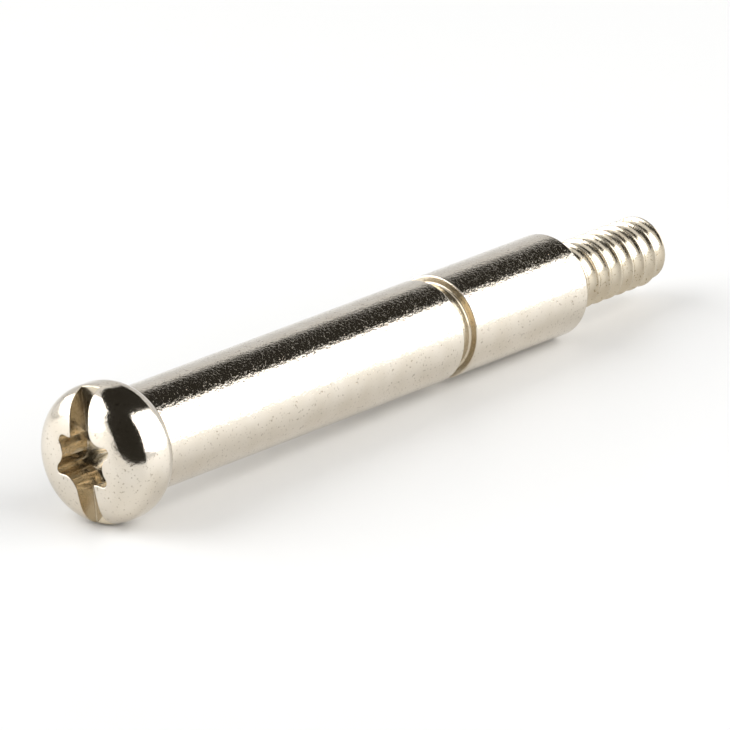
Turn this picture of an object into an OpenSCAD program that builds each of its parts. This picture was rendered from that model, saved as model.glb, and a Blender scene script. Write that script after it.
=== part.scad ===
// Round head shoulder screw: a domed head with a slot and a six-lobe recess, a long plain shank
// with one ring groove, and a thinner threaded end. It lies at rest on its head and shank.
// Lengths are in millimetres. Along the screw they are measured from the underside of the head.

/* [Head] */
// Diameter of the head at its widest
head_d = 7.9; // [7.3:0.1:9.5]
// Height of the head, from its underside to the middle of its crown
head_h = 3.5; // [3.2:0.05:5]
// Radius of the curve that draws the side of the head in towards the shank
rear_round = 1.5; // [1.2:0.05:1.7]
// Length of that curve, up to the underside of the head
rear_l = 0.95; // [0.6:0.05:1.1]
// Radius of the rounded edge around the crown
front_round = 1.7; // [1.2:0.05:2.2]
// Radius of the shallow dome of the crown
crown_r = 12; // [9:0.5:30]

/* [Slot and recess] */
// Width of the screwdriver slot
slot_w = 1.3; // [0.8:0.05:1.4]
// Depth of the slot below the middle of the crown
slot_depth = 1.5; // [1:0.05:1.7]
// Turn of the slot against one pair of lobes
slot_turn = -72; // [-90:1:90]
// Six-lobe recess across opposite lobes
recess_d = 3.95; // [3.6:0.05:4.3]
// Six-lobe recess across opposite flutes
recess_waist = 2.85; // [2.5:0.05:3]
// Radius at the tip of a lobe
lobe_r = 0.32; // [0.25:0.01:0.38]
// Depth of the recess walls below the middle of the crown
recess_depth = 2.3; // [1.7:0.05:2.6]
// Depth of the cone at the bottom of the recess
recess_cone = 0.4; // [0.2:0.05:0.6]

/* [Shank] */
// Diameter of the plain shank
shank_d = 6; // [5.4:0.05:6.6]
// Length of the plain shank
shank_l = 38; // [30:0.5:60]
// Radius of the edge at the end of the shank
shank_edge = 0.1; // [0.05:0.05:0.5]
// Distance from the head to the near wall of the ring groove
groove_from = 26.6; // [5:0.1:34]
// Width of the ring groove
groove_w = 1.15; // [0.7:0.05:1.6]
// Diameter at the bottom of the ring groove
groove_d = 5; // [4.3:0.05:5.2]
// Break on both edges of the ring groove
groove_edge = 0.08; // [0.03:0.01:0.15]

/* [Thread] */
// Outside diameter of the thread
thread_d = 4; // [3:0.05:4.5]
// Length of the threaded end
thread_l = 9.2; // [6:0.1:16]
// Distance from one turn to the next
thread_pitch = 1.07; // [0.7:0.01:1.25]
// Depth of the hollow between two turns
thread_depth = 0.35; // [0.25:0.05:0.45]
// Turn of the thread about the screw's axis
thread_turn = 205; // [0:5:355]
// Length of the chamfer at the tip
tip_chamfer = 0.6; // [0.2:0.05:1]

/* [Rest] */
// Turn of the lying screw about its axis, with that pair of lobes upright at 0
rest_turn = 63; // [-90:1:90]

/* [Hidden] */
$fn = 96;
nickel = "#d8d2c6";
head_r = head_d / 2;
shank_r = shank_d / 2;
thread_r = thread_d / 2;
screw_end = shank_l + thread_l;

// The corner arc touches the side of the head and the dome of the crown
corner_r = head_r - front_round;
dome_to_corner = sqrt(pow(crown_r - front_round, 2) - pow(corner_r, 2));
dome_z = crown_r - head_h;
corner_z = dome_z - dome_to_corner;
corner_arc = atan2(dome_to_corner, corner_r);

// A flute's arc touches the lobes on both sides of it
lobes = 6;
lobe_angle = 360 / lobes;
lobe_at = recess_d / 2 - lobe_r;
lobe_reach = lobe_at * cos(lobe_angle / 2);
waist_r = recess_waist / 2;
flute_r = (pow(lobe_at, 2) + pow(waist_r, 2) - pow(lobe_r, 2) - 2 * waist_r * lobe_reach)
    / (2 * (lobe_r + lobe_reach - waist_r));
flute_at = waist_r + flute_r;

// The cone at the bottom of the recess starts just inside the flutes and ends in a small flat
cone_inset = 0.04;
cone_flat_d = 0.4;

// Steps along each kind of arc
round_steps = 10;
dome_steps = 6;
edge_steps = 3;
lobe_steps = 4;

// Share of the pitch that the flat crest takes, and steps around a turn
crest_share = 0.12;
turn_steps = 24;
step_angle = 360 / turn_steps;
// The hollow is an arc from crest to crest, of which a turn's outline has the middle, the quarters and the ends
root_r = thread_r - thread_depth;
hollow_share = 1 - crest_share;
hollow_half = hollow_share * thread_pitch / 2;
hollow_r = (pow(hollow_half, 2) + pow(thread_depth, 2)) / (2 * thread_depth);
quarter_r = root_r + hollow_r - sqrt(pow(hollow_r, 2) - pow(hollow_half / 2, 2));
turn_profile = [
    [0, root_r],
    [hollow_share / 4, quarter_r],
    [hollow_share / 2, thread_r],
    [1 - hollow_share / 2, thread_r],
    [1 - hollow_share / 4, quarter_r]
];
// One spare turn is buried in the shank and one runs past the tip
turns = ceil(thread_l / thread_pitch) + 2;

// The lying screw touches the floor with the rear curve of its head and the end of its shank
run = shank_l - shank_edge + rear_l;
rise = shank_r - shank_edge - head_r + rear_round;
rest_tilt = asin((rear_round - shank_edge) / norm([run, rise])) - atan2(rise, run);
rest_height = (head_r - rear_round) * cos(rest_tilt) - rear_l * sin(rest_tilt) + rear_round;
rest_x = -(screw_end - head_h) / 2 * cos(rest_tilt);

// How far a cutting shape runs past the surface that it cuts
over = 1;

// Points along an arc, from its angle "from" to its angle "to", leaving out as many as "skip" at its start
function arc(centre, r, from, to, steps, skip = 0) = [
    for (i = [skip:steps])
        let (a = from + (to - from) * i / steps)
            centre + r * [cos(a), sin(a)]
];

function turned(points, angle) = [
    for (p = points)
        [p.x * cos(angle) - p.y * sin(angle), p.x * sin(angle) + p.y * cos(angle)]
];

// Half section of the head, with its underside at zero and its crown below
module head_section() {
    rear = [head_r - rear_round, -rear_l];
    polygon(concat(
        [[0, 0]],
        arc(rear, rear_round, asin(rear_l / rear_round), 0, round_steps),
        arc([corner_r, corner_z], front_round, 0, -corner_arc, round_steps),
        arc([0, dome_z], crown_r, -corner_arc, -90, dome_steps, skip = 1)
    ));
}

// Half section of the plain shank with its ring groove
module shank_section() {
    groove_r = groove_d / 2;
    groove_to = groove_from + groove_w;
    polygon(concat(
        [
            [0, -over],
            [shank_r, -over],
            [shank_r, groove_from - groove_edge],
            [shank_r - groove_edge, groove_from],
            [groove_r, groove_from],
            [groove_r, groove_to],
            [shank_r - groove_edge, groove_to],
            [shank_r, groove_to + groove_edge]
        ],
        arc([shank_r - shank_edge, shank_l - shank_edge], shank_edge, 0, 90, edge_steps),
        [[0, shank_l]]
    ));
}

// Outline of the six-lobe recess, with one pair of lobes along X
module six_lobe_outline() {
    flute = flute_at * [cos(lobe_angle / 2), sin(lobe_angle / 2)];
    reach = atan2(flute.y, flute.x - lobe_at);
    lobe_and_flute = concat(
        arc([lobe_at, 0], lobe_r, -reach, reach, lobe_steps),
        arc(flute, flute_r, 180 + reach, 180 + lobe_angle - reach, lobe_steps, skip = 1)
    );
    polygon([
        for (k = [0:lobes - 1], i = [0:2 * lobe_steps - 1])
            turned(lobe_and_flute, k * lobe_angle)[i]
    ]);
}

// What the slot and the recess take out of the head, with two lobes along Y
module drive_cut() {
    slot_l = head_d + 2 * over;
    recess_floor = -head_h + recess_depth;
    rotate([0, 0, 90]) {
        rotate([0, 0, slot_turn])
            translate([-slot_l / 2, -slot_w / 2, -head_h - over])
                cube([slot_l, slot_w, slot_depth + over]);
        translate([0, 0, -head_h - over])
            linear_extrude(recess_depth + over)
                six_lobe_outline();
        translate([0, 0, recess_floor])
            cylinder(h = recess_cone, r1 = waist_r - cone_inset, r2 = cone_flat_d / 2);
    }
}

// Helical ridge on its core, as one strip that winds from inside the shank past the tip
module thread_helix() {
    count = len(turn_profile);
    steps = turns * turn_steps;
    start_z = shank_l - thread_pitch;
    points = [
        for (s = [0:steps], p = turn_profile)
            let (z = start_z + thread_pitch * (s / turn_steps + p[0]))
                [p[1] * cos(s * step_angle), p[1] * sin(s * step_angle), z],
        for (s = [steps + 1 : steps + turn_steps])
            let (z = start_z + thread_pitch * s / turn_steps)
                [root_r * cos(s * step_angle), root_r * sin(s * step_angle), z],
        [0, 0, start_z],
        [0, 0, start_z + thread_pitch * (turns + 1)]
    ];
    // Number of a point: the last point of one turn's profile is the first of the next turn's
    function at(s, k) =
        k < count
            ? (s <= steps ? s * count + k : (steps + 1) * count + s - steps - 1)
            : at(s + turn_steps, 0);
    low = (steps + 1) * count + turn_steps;
    high = low + 1;
    faces = [
        for (s = [0:steps - 1], k = [0:count - 1])
            each [
                [at(s, k), at(s, k + 1), at(s + 1, k + 1)],
                [at(s, k), at(s + 1, k + 1), at(s + 1, k)]
            ],
        for (s = [0:turn_steps - 1])
            [low, at(s, 0), at(s + 1, 0)],
        for (s = [steps:steps + turn_steps - 1])
            [high, at(s + 1, 0), at(s, 0)],
        [low, for (k = [0:count]) at(0, count - k)],
        [high, for (k = [0:count]) at(steps, k)]
    ];
    polyhedron(points, faces, convexity = 10);
}

// The helix, cut to its length and chamfered at the tip
module thread() {
    buried_z = shank_l - thread_pitch / 2;
    intersection() {
        rotate([0, 0, thread_turn])
            thread_helix();
        rotate_extrude()
            polygon([
                [0, buried_z],
                [thread_r + over, buried_z],
                [thread_r + over, screw_end - tip_chamfer - over],
                [thread_r - tip_chamfer, screw_end],
                [0, screw_end]
            ]);
    }
}

module screw() {
    color(nickel)
        translate([rest_x, 0, rest_height])
            rotate([90 + rest_tilt, 0, 90])
                rotate([0, 0, rest_turn]) {
                    difference() {
                        rotate_extrude()
                            head_section();
                        drive_cut();
                    }
                    rotate_extrude()
                        shank_section();
                    thread();
                }
}

screw();
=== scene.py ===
import math

import bmesh
import bpy
from mathutils import Matrix, Vector


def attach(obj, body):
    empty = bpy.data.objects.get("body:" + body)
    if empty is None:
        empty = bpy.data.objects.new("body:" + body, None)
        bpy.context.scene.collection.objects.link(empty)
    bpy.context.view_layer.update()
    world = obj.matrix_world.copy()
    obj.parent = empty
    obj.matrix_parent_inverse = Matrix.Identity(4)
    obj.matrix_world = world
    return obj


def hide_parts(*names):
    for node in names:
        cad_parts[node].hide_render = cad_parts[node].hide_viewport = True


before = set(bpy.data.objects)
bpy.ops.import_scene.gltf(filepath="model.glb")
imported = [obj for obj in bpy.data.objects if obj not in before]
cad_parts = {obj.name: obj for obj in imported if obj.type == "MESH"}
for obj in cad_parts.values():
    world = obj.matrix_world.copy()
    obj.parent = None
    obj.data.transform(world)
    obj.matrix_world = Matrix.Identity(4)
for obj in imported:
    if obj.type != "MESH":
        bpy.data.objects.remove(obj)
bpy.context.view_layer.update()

# Sizes in millimetres, along the screw from the underside of its head: the crown lies below zero, the thread above
MM = 0.001
SIDES = 144
TURN_STEPS = 96
CORNER_STEPS = 28
REAR_STEPS = 12
EDGE_STEPS = 5
LIP_STEPS = 4
# A ring this close to a rounded edge keeps the plain shank straight in its shading
BESIDE = 0.04
# Points closer than this are one point
SAME_POINT = 0.0005
# How far a cutting tool runs past the crown, and the tip's tool around the thread
OVER = 1.0
AROUND = 0.5

HEAD_R = 3.95
HEAD_H = 3.5
REAR_ROUND = 1.5
REAR_L = 0.95
UNDER_EDGE = 0.12
FRONT_ROUND = 1.7
CROWN_R = 12.0
DOME_RINGS = (0.5, 1.15, 2.06)

SLOT_W = 1.3
SLOT_L = 2.6 * HEAD_R
SLOT_DEPTH = 1.5
SLOT_TURN = math.radians(-72)
RECESS_R = 1.975
WAIST_R = 1.425
LOBE_R = 0.32
# Degrees from the middle of a lobe to the middle of a flute
HALF_LOBE = 30
RECESS_DEPTH = 2.3
RECESS_CONE = 0.4
CONE_INSET = 0.04
# Share of its width that the cone keeps at its blunt end
CONE_END = 0.15

SHANK_R = 3.0
SHANK_L = 38.0
SHANK_EDGE = 0.1
HEAD_FILLET = 0.1
# The shank closes in a disc inside the core of the thread
END_DISC_R = 1.0
GROOVE_FROM = 26.6
GROOVE_W = 1.15
GROOVE_R = 2.5
GROOVE_EDGE = 0.08
GROOVE_FILLET = 0.15

THREAD_R = 2.0
THREAD_L = 9.2
PITCH = 1.07
THREAD_DEPTH = 0.35
CREST = 0.12 * PITCH
# Rounded edge of the crest, as drops below the crest and distances from the end of the hollow
CREST_EDGE = ((0.035, -0.015), (0.01, 0.012), (0.0, 0.04))
THREAD_TURN = math.radians(205)
TIP_CHAMFER = 0.6
# Break between the chamfer and the face of the tip, along the chamfer and across the face
TIP_BREAK = 0.06
TIP_BREAK_IN = 0.08

REST_TURN = math.radians(63)
SCREW_END = SHANK_L + THREAD_L


# Working by hand in edit mode

def only(piece):
    """Selects one piece and nothing else."""
    bpy.ops.object.select_all(action="DESELECT")
    piece.select_set(True)
    bpy.context.view_layer.objects.active = piece


def new_piece(name):
    """Names the primitive that was just added, and opens it in edit mode with all of it selected."""
    piece = bpy.context.view_layer.objects.active
    piece.name = name
    piece.data.name = name
    only(piece)
    bpy.ops.object.mode_set(mode="EDIT")
    bpy.ops.mesh.select_all(action="SELECT")
    return piece


def done():
    """Leaves edit mode."""
    bpy.ops.object.mode_set(mode="OBJECT")


def pick_points(piece, wanted):
    """Selects the points of a piece in edit mode whose place passes the test."""
    bpy.ops.mesh.select_mode(type="VERT")
    bpy.ops.mesh.select_all(action="DESELECT")
    mesh = bmesh.from_edit_mesh(piece.data)
    for v in mesh.verts:
        v.select = bool(wanted(v.co / MM))
    mesh.select_flush_mode()
    bmesh.update_edit_mesh(piece.data)


def ring_up(rings):
    """Pulls the selected disc through rings of (radius, height), each as an extrusion, a lift and a scaling."""
    for (r0, z0), (r1, z1) in zip(rings, rings[1:]):
        bpy.ops.mesh.extrude_region_move(TRANSFORM_OT_translate={"value": (0, 0, (z1 - z0) * MM)})
        bpy.ops.transform.resize(value=(r1 / r0, r1 / r0, 1), center_override=(0, 0, z1 * MM))


def shell_outwards():
    """Merges doubled points of the piece in edit mode and turns its faces outwards."""
    bpy.ops.mesh.select_all(action="SELECT")
    bpy.ops.mesh.remove_doubles(threshold=SAME_POINT * MM)
    bpy.ops.mesh.normals_make_consistent(inside=False)


def cut(piece, tool, operation):
    """Cuts, joins or keeps the overlap of two closed pieces, and clears the tool away."""
    only(piece)
    step = piece.modifiers.new(operation.lower(), "BOOLEAN")
    step.operation = operation
    step.solver = "EXACT"
    step.material_mode = "TRANSFER"
    step.object = tool
    bpy.ops.object.modifier_apply(modifier=step.name)
    bpy.data.objects.remove(tool)


def arc(centre, r, start, end, steps):
    """Points (radius, height) along an arc, from one angle in degrees to another."""
    angles = [math.radians(start + (end - start) * i / steps) for i in range(steps + 1)]
    return [(centre[0] + r * math.cos(a), centre[1] + r * math.sin(a)) for a in angles]


# The turned body: head, shank and ring groove

def turned_body():
    """A disc in the middle of the crown is drawn out ring by ring: dome, corner, side, underside, shank, groove."""
    corner_r = HEAD_R - FRONT_ROUND
    reach = math.sqrt((CROWN_R - FRONT_ROUND) ** 2 - corner_r ** 2)
    dome_z = CROWN_R - HEAD_H
    corner = (corner_r, dome_z - reach)
    corner_arc = math.degrees(math.atan2(reach, corner_r))
    dome = [(r, dome_z - math.sqrt(CROWN_R ** 2 - r ** 2)) for r in DOME_RINGS]
    groove_to = GROOVE_FROM + GROOVE_W
    near_lip = (SHANK_R - GROOVE_EDGE, GROOVE_FROM - GROOVE_EDGE)
    far_lip = (SHANK_R - GROOVE_EDGE, groove_to + GROOVE_EDGE)
    near_foot = (GROOVE_R + GROOVE_FILLET, GROOVE_FROM + GROOVE_FILLET)
    far_foot = (GROOVE_R + GROOVE_FILLET, groove_to - GROOVE_FILLET)
    end_edge = (SHANK_R - SHANK_EDGE, SHANK_L - SHANK_EDGE)
    rear = (HEAD_R - REAR_ROUND, -REAR_L)
    edge_r = rear[0] + math.sqrt((REAR_ROUND - UNDER_EDGE) ** 2 - (REAR_L - UNDER_EDGE) ** 2)
    edge_from = math.degrees(math.atan2(REAR_L - UNDER_EDGE, edge_r - rear[0]))
    rings = (
        dome
        + arc(corner, FRONT_ROUND, -corner_arc, 0, CORNER_STEPS)
        + arc(rear, REAR_ROUND, 0, edge_from, REAR_STEPS)
        + arc((edge_r, -UNDER_EDGE), UNDER_EDGE, edge_from, 90, EDGE_STEPS)[1:]
        + arc((SHANK_R + HEAD_FILLET, HEAD_FILLET), HEAD_FILLET, 270, 180, LIP_STEPS)
        + [(SHANK_R, HEAD_FILLET + BESIDE), (SHANK_R, near_lip[1] - BESIDE)]
        + arc(near_lip, GROOVE_EDGE, 0, 90, LIP_STEPS)
        + arc(near_foot, GROOVE_FILLET, 270, 180, EDGE_STEPS)
        + arc(far_foot, GROOVE_FILLET, 180, 90, EDGE_STEPS)
        + arc(far_lip, GROOVE_EDGE, 270, 360, LIP_STEPS)
        + [(SHANK_R, far_lip[1] + BESIDE), (SHANK_R, end_edge[1] - BESIDE)]
        + arc(end_edge, SHANK_EDGE, 0, 90, EDGE_STEPS)
        + [(END_DISC_R, SHANK_L)]
    )
    bpy.ops.mesh.primitive_circle_add(
        vertices=SIDES, radius=rings[0][0] * MM, fill_type="NGON", location=(0, 0, rings[0][1] * MM))
    bpy.ops.object.transform_apply(location=True, rotation=True, scale=True)
    body = new_piece("nickel_screw")
    ring_up(rings)
    shell_outwards()
    done()
    return body


# The drive: a slot across the crown and a six-lobe recess in its middle

def slot_tool():
    """A bar along Y, as wide as the slot, from its floor to past the crown, turned against the lobes."""
    bpy.ops.mesh.primitive_cube_add(size=1)
    bar = new_piece("slot_tool")
    bpy.ops.transform.resize(value=(SLOT_W * MM, SLOT_L * MM, 2 * OVER * MM), center_override=(0, 0, 0))
    bpy.ops.transform.translate(value=(0, 0, (SLOT_DEPTH - HEAD_H - OVER) * MM))
    done()
    bar.rotation_euler = (0, 0, SLOT_TURN)
    bpy.ops.object.transform_apply(location=True, rotation=True, scale=True)
    return bar


def lobed_radius(angle):
    """Distance of the recess wall from the axis, for an angle in degrees from the middle of a lobe, 0 to 30."""
    half_lobe = math.radians(HALF_LOBE)
    lobe_at = RECESS_R - LOBE_R
    reach = lobe_at * math.cos(half_lobe)
    flute_r = (lobe_at ** 2 + WAIST_R ** 2 - LOBE_R ** 2 - 2 * WAIST_R * reach) / (
        2 * (LOBE_R + reach - WAIST_R))
    flute_at = WAIST_R + flute_r
    t, u = math.radians(angle), math.radians(HALF_LOBE - angle)
    beyond = LOBE_R ** 2 - (lobe_at * math.sin(t)) ** 2
    on_lobe = lobe_at * math.cos(t) + math.sqrt(beyond) if beyond > 0 else 0
    inside = flute_r ** 2 - (flute_at * math.sin(u)) ** 2
    on_flute = flute_at * math.cos(u) - math.sqrt(inside) if inside > 0 else RECESS_R
    touch_x = flute_at * math.cos(half_lobe) - lobe_at
    touch = math.atan2(flute_at * math.sin(half_lobe), touch_x)
    tip = math.atan2(LOBE_R * math.sin(touch), lobe_at + LOBE_R * math.cos(touch))
    return on_lobe if t <= tip else on_flute


def recess_tool():
    """A disc whose rim is scaled, step by step from lobe to flute, then drawn down into a prism with a blunt cone."""
    bpy.ops.mesh.primitive_circle_add(vertices=SIDES, radius=MM, fill_type="NGON")
    prism = new_piece("recess_tool")
    step = 360 / SIDES
    for k in range(int(HALF_LOBE / step) + 1):
        def on_step(p, k=k):
            a = (math.degrees(math.atan2(p.y, p.x)) - 90) % (2 * HALF_LOBE)
            return abs(min(a, 2 * HALF_LOBE - a) - k * step) < 0.1
        r = lobed_radius(k * step)
        pick_points(prism, on_step)
        bpy.ops.transform.resize(value=(r, r, 1), center_override=(0, 0, 0))
    bpy.ops.mesh.select_all(action="SELECT")
    bpy.ops.transform.translate(value=(0, 0, (-HEAD_H - OVER) * MM))
    bpy.ops.mesh.extrude_region_move(TRANSFORM_OT_translate={"value": (0, 0, (RECESS_DEPTH + OVER) * MM)})
    floor_z = (RECESS_DEPTH - HEAD_H) * MM
    bpy.ops.mesh.inset(thickness=CONE_INSET * MM, depth=0)
    bpy.ops.mesh.extrude_region_move(TRANSFORM_OT_translate={"value": (0, 0, RECESS_CONE * MM)})
    bpy.ops.transform.resize(value=(CONE_END, CONE_END, 1), center_override=(0, 0, floor_z + RECESS_CONE * MM))
    shell_outwards()
    done()
    return prism


# The thread: one turn's outline, wound up the core

def thread_outline():
    """Points (radius, height) over one pitch, from the middle of a hollow to the middle of the next."""
    half = (PITCH - CREST) / 2
    r = (half ** 2 + THREAD_DEPTH ** 2) / (2 * THREAD_DEPTH)
    spread = math.degrees(math.asin(half / r))
    middle = THREAD_R - THREAD_DEPTH + r
    rise = arc((middle, 0), r, 180, 180 - spread, 9)[:-1]
    crest_edge = [(THREAD_R - drop, half + past) for drop, past in CREST_EDGE]
    up = rise + crest_edge
    return up + [(q, PITCH - z) for q, z in reversed(up)]


def thread(finish):
    """Draws the outline as a line of points, winds it with the Screw modifier, closes both ends and turns the tip."""
    outline = thread_outline()
    start_z = SHANK_L - PITCH
    # one spare turn is buried in the shank and one runs past the tip
    turns = math.ceil(THREAD_L / PITCH) + 2
    bpy.ops.mesh.primitive_plane_add(size=MM)
    helix = new_piece("thread")
    bpy.ops.mesh.merge(type="CENTER")
    bpy.ops.transform.translate(value=(outline[0][0] * MM, 0, (start_z + outline[0][1]) * MM))
    for (r0, z0), (r1, z1) in zip(outline, outline[1:]):
        bpy.ops.mesh.extrude_region_move(TRANSFORM_OT_translate={"value": ((r1 - r0) * MM, 0, (z1 - z0) * MM)})
    done()
    wind = helix.modifiers.new("wind", "SCREW")
    wind.axis = "Z"
    wind.angle = math.tau
    wind.screw_offset = PITCH * MM
    wind.iterations = turns
    wind.steps = wind.render_steps = TURN_STEPS
    wind.use_merge_vertices = True
    wind.merge_threshold = SAME_POINT * MM
    bpy.ops.object.modifier_apply(modifier=wind.name)
    bpy.ops.object.mode_set(mode="EDIT")
    bpy.ops.mesh.select_all(action="SELECT")
    bpy.ops.mesh.remove_doubles(threshold=SAME_POINT * MM)
    # each open end closes in a fan towards the axis
    middle = (start_z + SCREW_END) / 2
    for below in (True, False):
        bpy.ops.mesh.select_mode(type="VERT")
        bpy.ops.mesh.select_all(action="DESELECT")
        bpy.ops.mesh.select_non_manifold()
        mesh = bmesh.from_edit_mesh(helix.data)
        for e in mesh.edges:
            e.select = e.is_boundary and (e.verts[0].co.z / MM < middle) == below
        bmesh.update_edit_mesh(helix.data)
        bpy.ops.mesh.select_mode(type="EDGE")
        end_z = start_z if below else start_z + (turns + 1) * PITCH
        bpy.ops.mesh.extrude_edges_move()
        bpy.ops.transform.resize(value=(0, 0, 0), center_override=(0, 0, end_z * MM))
    bpy.ops.mesh.select_mode(type="VERT")
    shell_outwards()
    done()
    helix.rotation_euler = (0, 0, THREAD_TURN)
    bpy.ops.object.transform_apply(location=True, rotation=True, scale=True)
    envelope = tip_envelope()
    for piece in (helix, envelope):
        piece.data.materials.append(finish)
    cut(helix, envelope, "INTERSECT")
    return helix


def tip_envelope():
    """A rod around the thread with the chamfer of its tip, which starts inside the shank."""
    wide = THREAD_R + AROUND
    buried_z = SHANK_L - 0.5 * PITCH
    bpy.ops.mesh.primitive_circle_add(
        vertices=SIDES, radius=wide * MM, fill_type="NGON", location=(0, 0, buried_z * MM))
    bpy.ops.object.transform_apply(location=True, rotation=True, scale=True)
    rod = new_piece("tip_envelope")
    ring_up([
        (wide, buried_z),
        (wide, SCREW_END - TIP_CHAMFER - AROUND),
        (THREAD_R - TIP_CHAMFER + TIP_BREAK, SCREW_END - TIP_BREAK),
        (THREAD_R - TIP_CHAMFER - TIP_BREAK_IN, SCREW_END),
    ])
    shell_outwards()
    done()
    return rod


# Laying the finished screw where the solid lies

def rest_place():
    """The lying screw touches the floor with the rear curve of its head and the end of its shank."""
    run = SHANK_L - SHANK_EDGE + REAR_L
    rise = SHANK_R - SHANK_EDGE - HEAD_R + REAR_ROUND
    tilt = math.asin((REAR_ROUND - SHANK_EDGE) / math.hypot(run, rise)) - math.atan2(rise, run)
    height = (HEAD_R - REAR_ROUND) * math.cos(tilt) - REAR_L * math.sin(tilt) + REAR_ROUND
    along = -(SCREW_END - HEAD_H) / 2 * math.cos(tilt)
    turn = Matrix.Rotation(math.pi / 2, 4, "Z") @ Matrix.Rotation(math.pi / 2 + tilt, 4, "X")
    return Matrix.Translation(Vector((along, 0, height)) * MM) @ turn @ Matrix.Rotation(REST_TURN, 4, "Z")


def shade_in_groove(body):
    """Gives the walls and the bottom of the ring groove the second finish of the body, whose darker, browner tone is
    painted shade.
    """
    only(body)
    bpy.ops.object.mode_set(mode="EDIT")
    pick_points(body, lambda p: math.hypot(p.x, p.y) < SHANK_R - 0.5 * GROOVE_EDGE
                and GROOVE_FROM - GROOVE_EDGE < p.z < GROOVE_FROM + GROOVE_W + GROOVE_EDGE)
    body.active_material_index = 1
    bpy.ops.object.material_slot_assign()
    done()


def make_screw():
    """Cuts the drive into the turned body, joins the thread to it and lays the screw down."""
    # the second finish paints shade into the hollows
    plate, shaded_plate = bright_nickel_plate(), hollow_shade_nickel_plate()
    body = turned_body()
    for finish in (plate, shaded_plate):
        body.data.materials.append(finish)
    shade_in_groove(body)
    # the cut walls of the slot and the recess take the second finish, and with it its painted shade
    for tool in (slot_tool(), recess_tool()):
        tool.data.materials.append(shaded_plate)
        cut(body, tool, "DIFFERENCE")
    # the thread takes the same finish with its painted shade
    cut(body, thread(shaded_plate), "UNION")
    only(body)
    body.matrix_world = rest_place()
    bpy.ops.object.transform_apply(location=True, rotation=True, scale=True)
    bpy.ops.object.mode_set(mode="EDIT")
    shell_outwards()
    done()
    bpy.ops.object.shade_smooth_by_angle(angle=math.radians(32))
    return body


# Finishes, with their patterns in millimetres
GRAIN = 0.2
RIPPLE = 1.5
RIPPLE_HEIGHT = 0.004
PIT_SPACING = 0.14
PIT_DEPTH = 0.005
EDGE_ROUND = 0.1
# Share of the grain that the head shows, and how soon the grain starts behind it
HEAD_GRAIN = 0.3
HEAD_FADE = 0.2


def linear(code):
    """An sRGB hex colour as linear values."""
    parts = [int(code[i:i + 2], 16) / 255 for i in (1, 3, 5)]
    return tuple(c / 12.92 if c <= 0.04045 else ((c + 0.055) / 1.055) ** 2.4 for c in parts) + (1.0,)


def add_node(tree, kind, settings=None, values=None, links=None):
    """Adds a node, sets its options and sockets, and links its sockets from other nodes' outputs."""
    made = tree.nodes.new(kind)
    for name, value in (settings or {}).items():
        setattr(made, name, value)
    for name, value in (values or {}).items():
        made.inputs[name].default_value = value
    for name, output in (links or {}).items():
        tree.links.new(made.inputs[name], output)
    return made


def new_finish(name):
    """An empty material, with its node tree."""
    finish = bpy.data.materials.new(name)
    finish.use_nodes = True
    finish.node_tree.nodes.clear()
    return finish, finish.node_tree


def ramp(node, stops):
    """Sets a colour ramp's stops as (place, colour)."""
    points = node.color_ramp.elements
    while len(points) < len(stops):
        points.new(1.0)
    for point, (place, colour) in zip(points, stops):
        point.position = place
        point.color = colour


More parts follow.
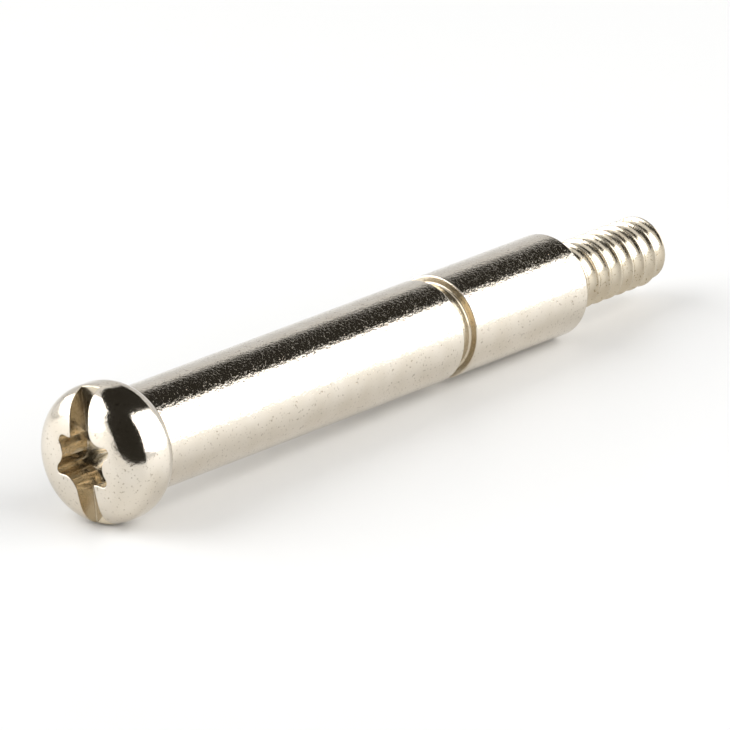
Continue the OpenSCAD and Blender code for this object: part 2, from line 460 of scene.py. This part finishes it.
def plated(name, dark, light, pit, grain_height, gloss_range):
    """A barrel-plated metal between two tones, with its grain, its ripples and its pits."""
    finish, tree = new_finish(name)
    place = add_node(tree, "ShaderNodeTexCoord").outputs["Object"]
    # tumbling grain about 0.2 mm across
    grain = add_node(tree, "ShaderNodeTexNoise",
                     values={"Scale": 1 / (GRAIN * MM), "Detail": 3.0, "Roughness": 0.6},
                     links={"Vector": place})
    # slow ripples about 1.5 mm across, left by the forming dies
    ripple = add_node(tree, "ShaderNodeTexNoise", values={"Scale": 1 / (RIPPLE * MM), "Detail": 1.0},
                      links={"Vector": place})
    # pits about 0.07 mm across, a few in each square millimetre
    pit_field = add_node(tree, "ShaderNodeTexNoise",
                         values={"Scale": 1 / (PIT_SPACING * MM), "Detail": 1.0, "Roughness": 0.4},
                         links={"Vector": place})
    pits = add_node(tree, "ShaderNodeValToRGB", links={"Fac": pit_field.outputs["Fac"]})
    ramp(pits, [(0.26, (0, 0, 0, 1)), (0.35, (1, 1, 1, 1))])
    tint = add_node(tree, "ShaderNodeValToRGB", links={"Fac": ripple.outputs["Fac"]})
    ramp(tint, [(0.3, linear(dark)), (0.7, linear(light))])
    colour = add_node(tree, "ShaderNodeMix", settings={"data_type": "RGBA"},
                      links={"Factor": pits.outputs["Color"]})
    colour.inputs["A"].default_value = linear(pit)
    tree.links.new(colour.inputs["B"], tint.outputs["Color"])
    gloss = add_node(tree, "ShaderNodeMapRange",
                     values={"From Min": 0.3, "From Max": 0.7, "To Min": gloss_range[0], "To Max": gloss_range[1]},
                     links={"Value": grain.outputs["Fac"]})
    # the plating rounds every edge and fills every corner by about 0.1 mm
    soft = add_node(tree, "ShaderNodeBevel", settings={"samples": 6}, values={"Radius": EDGE_ROUND * MM})
    wavy = add_node(tree, "ShaderNodeBump", values={"Strength": 1.0, "Distance": RIPPLE_HEIGHT * MM},
                    links={"Height": ripple.outputs["Fac"], "Normal": soft.outputs["Normal"]})
    # the die that formed the head left it smoother than the shank
    along = add_node(tree, "ShaderNodeSeparateXYZ", links={"Vector": place}).outputs["X"]
    underside = rest_place().translation.x
    worn = add_node(tree, "ShaderNodeMapRange",
                    values={"From Min": underside - HEAD_FADE * MM, "From Max": underside + HEAD_FADE * MM,
                            "To Min": HEAD_GRAIN},
                    links={"Value": along})
    grainy = add_node(tree, "ShaderNodeBump", values={"Distance": grain_height * MM},
                      links={"Strength": worn.outputs["Result"], "Height": grain.outputs["Fac"],
                             "Normal": wavy.outputs["Normal"]})
    pitted = add_node(tree, "ShaderNodeBump", values={"Distance": PIT_DEPTH * MM},
                      links={"Strength": worn.outputs["Result"], "Height": pits.outputs["Color"],
                             "Normal": grainy.outputs["Normal"]})
    metal = add_node(tree, "ShaderNodeBsdfPrincipled", values={"Metallic": 1.0},
                     links={"Base Color": colour.outputs["Result"], "Roughness": gloss.outputs["Result"],
                            "Normal": pitted.outputs["Normal"]})
    add_node(tree, "ShaderNodeOutputMaterial", links={"Surface": metal.outputs["BSDF"]})
    return finish


def bright_nickel_plate():
    """Bright nickel plate on a cold-formed screw, tumbled in bulk. A warm silver mirror, broken by a fine grain that
    frays the edges of what it mirrors, and by pin-point pits that catch as small dark specks."""
    return plated("bright_nickel_plate", "#d3cabb", "#dad2c5", "#a79c8c", 0.02, (0.07, 0.13))


def hollow_shade_nickel_plate():
    """The same plate with shade painted into the slot, the recess, the groove and the thread: its darker, browner
    tone stands in for the shade there, so that each bounce between the walls comes out browner."""
    return plated("hollow_shade_nickel_plate", "#cbbfaa", "#d4cab7", "#a3957c", 0.008, (0.14, 0.24))


def white_paper():
    """Satin white photo paper: an even pale floor that keeps soft shadows and has a sheen at flat angles, which the
    screw mirrors as a soft passage from the white window to its beige underside."""
    finish, tree = new_finish("white_paper")
    paper = add_node(tree, "ShaderNodeBsdfPrincipled",
                     values={"Base Color": linear("#f0f0ef"), "Roughness": 0.4, "Specular IOR Level": 0.2})
    add_node(tree, "ShaderNodeOutputMaterial", links={"Surface": paper.outputs["BSDF"]})
    return finish


def reflection_glow_card(name, tone):
    """A card that glows evenly in its tone, though it is no lamp: a painted reflection of a darker part of the
    studio, which the metal mirrors.
    """
    finish, tree = new_finish(name)
    card = add_node(tree, "ShaderNodeEmission", values={"Color": linear(tone), "Strength": 1.0})
    add_node(tree, "ShaderNodeOutputMaterial", links={"Surface": card.outputs["Emission"]})
    return finish


# Studio, with places and sizes in metres
FLOOR_SIZE = 6
WINDOW_H = 0.6
WINDOW_Z = 0.3
# The tent lights the floor and the screw at this level, and is itself seen and mirrored as white
TENT_LIGHT = 0.4
# The camera's height angle and heading in degrees, its lens and picture in pixels, and where it has the middle of the
# head's underside: to the right, down and forward, in millimetres
CAMERA_UP = 19.4
CAMERA_HEADING = 38.46
FOCAL_PIXELS = 12000
PICTURE_PIXELS = 730
SENSOR_W = 36
UNDERSIDE_SEEN = (-13.289, 4.441, 655.545)


def floor():
    """A wide sheet of paper under the screw."""
    bpy.ops.mesh.primitive_plane_add(size=FLOOR_SIZE)
    paper = bpy.context.view_layer.objects.active
    paper.name = "floor"
    paper.data.materials.append(white_paper())


def card(name, corners, finish):
    """A card by its four corners, which only mirrored light sees."""
    bpy.ops.mesh.primitive_plane_add(size=2)
    made = new_piece(name)
    mesh = bmesh.from_edit_mesh(made.data)
    order = sorted(mesh.verts, key=lambda v: math.atan2(v.co.y, v.co.x))
    for v, corner in zip(order, corners):
        v.co = corner
    bmesh.update_edit_mesh(made.data)
    done()
    made.data.materials.append(finish)
    made.visible_camera = False
    made.visible_diffuse = False
    made.visible_shadow = False
    made.visible_transmission = False


def level(points, height):
    """Corners of a card that hangs level at a height."""
    return [(x, y, height) for x, y in points]


def upright(left, right, low, high):
    """Corners of a card that stands over two points of the floor, from one height to another."""
    return [(*left, low), (*right, low), (*right, high), (*left, high)]


def window(name, place, facing, width, radiance):
    """A white softbox of an even radiance, upright and facing along the floor."""
    lamp = bpy.data.lights.new(name, "AREA")
    lamp.shape = "RECTANGLE"
    lamp.size, lamp.size_y = width, WINDOW_H
    lamp.energy = radiance * math.pi * width * WINDOW_H
    lamp.color = linear("#ffffff")[:3]
    box = bpy.data.objects.new(name, lamp)
    box.location = (*place, WINDOW_Z)
    box.rotation_euler = Vector((*facing, 0)).to_track_quat("-Z", "Z").to_euler()
    bpy.context.scene.collection.objects.link(box)


def studio():
    """A white tent with dark and pale glowing cards, which paint reflections into the metal, and two windows that
    light it.
    """
    world = bpy.data.worlds.new("white_tent")
    bpy.context.scene.world = world
    world.use_nodes = True
    world.node_tree.nodes.clear()
    tree = world.node_tree
    rays = add_node(tree, "ShaderNodeLightPath").outputs
    seen = add_node(tree, "ShaderNodeMath", settings={"operation": "MAXIMUM"})
    tree.links.new(seen.inputs[0], rays["Is Camera Ray"])
    tree.links.new(seen.inputs[1], rays["Is Glossy Ray"])
    shown = add_node(tree, "ShaderNodeMath", settings={"operation": "MAXIMUM"})
    tree.links.new(shown.inputs[0], seen.outputs["Value"])
    tree.links.new(shown.inputs[1], rays["Is Transmission Ray"])
    strength = add_node(tree, "ShaderNodeMapRange", values={"To Min": TENT_LIGHT, "To Max": 1.0},
                        links={"Value": shown.outputs["Value"]})
    tent = add_node(tree, "ShaderNodeBackground", values={"Color": linear("#ffffff")},
                    links={"Strength": strength.outputs["Result"]})
    add_node(tree, "ShaderNodeOutputWorld", links={"Surface": tent.outputs["Background"]})
    # dark and pale glowing sheets, seen only in mirrored light, paint the reflections of the studio's darker parts
    black = reflection_glow_card("black_reflection_card", "#33312c")
    pale = reflection_glow_card("pale_grey_reflection_card", "#e4e4e4")
    card("ceiling_card", level([(0.17, 0.34), (0.17, -0.305), (1.05, -0.15), (1.05, 0.642)], 0.6), black)
    card("card_above_head", level([(-0.0652, 0.0102), (-0.0321, -0.0316), (-0.0048, -0.0268), (-0.0048, 0.0312)],
                                  0.06), black)
    # the front card and the side card meet in an upright edge to the right of the head
    edge = (-0.0273, -0.0257)
    card("front_card", upright((-0.042, 0.003), edge, 0.0025, 0.1), black)
    card("side_card", upright(edge, (-0.031, -0.05), 0.0025, 0.045), black)
    card("back_card", upright((0.883, -0.065), (0.137, 0.875), 0.04, 0.34), pale)
    window("right_window", (0.33, -0.277), (-0.179, 0.984), 0.86, 2.4)
    window("left_window", (-0.25, 0.19), (0.33, -0.945), 0.43, 2.7)


def camera():
    """Stands where the photo was taken from: a long lens, a little above the screw and in front of its head."""
    up_angle, heading = math.radians(CAMERA_UP), math.radians(CAMERA_HEADING)
    forward = Vector((math.cos(up_angle) * math.cos(heading), math.cos(up_angle) * math.sin(heading),
                      -math.sin(up_angle)))
    right = Vector((math.sin(heading), -math.cos(heading), 0))
    down = forward.cross(right)
    underside = rest_place() @ Vector((0, 0, 0))
    lens = bpy.data.cameras.new("camera")
    lens.sensor_width = SENSOR_W
    lens.lens = SENSOR_W * FOCAL_PIXELS / PICTURE_PIXELS
    eye = bpy.data.objects.new("camera", lens)
    bpy.context.scene.collection.objects.link(eye)
    across, below, away = UNDERSIDE_SEEN
    spot = underside - (right * across + down * below + forward * away) * MM
    eye.matrix_world = Matrix.Translation(spot) @ Matrix((right, -down, -forward)).transposed().to_4x4()
    bpy.context.scene.camera = eye


bpy.context.scene.view_settings.view_transform = "Standard"
screw = make_screw()
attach(screw, "root")
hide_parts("screw")
floor()
studio()
camera()
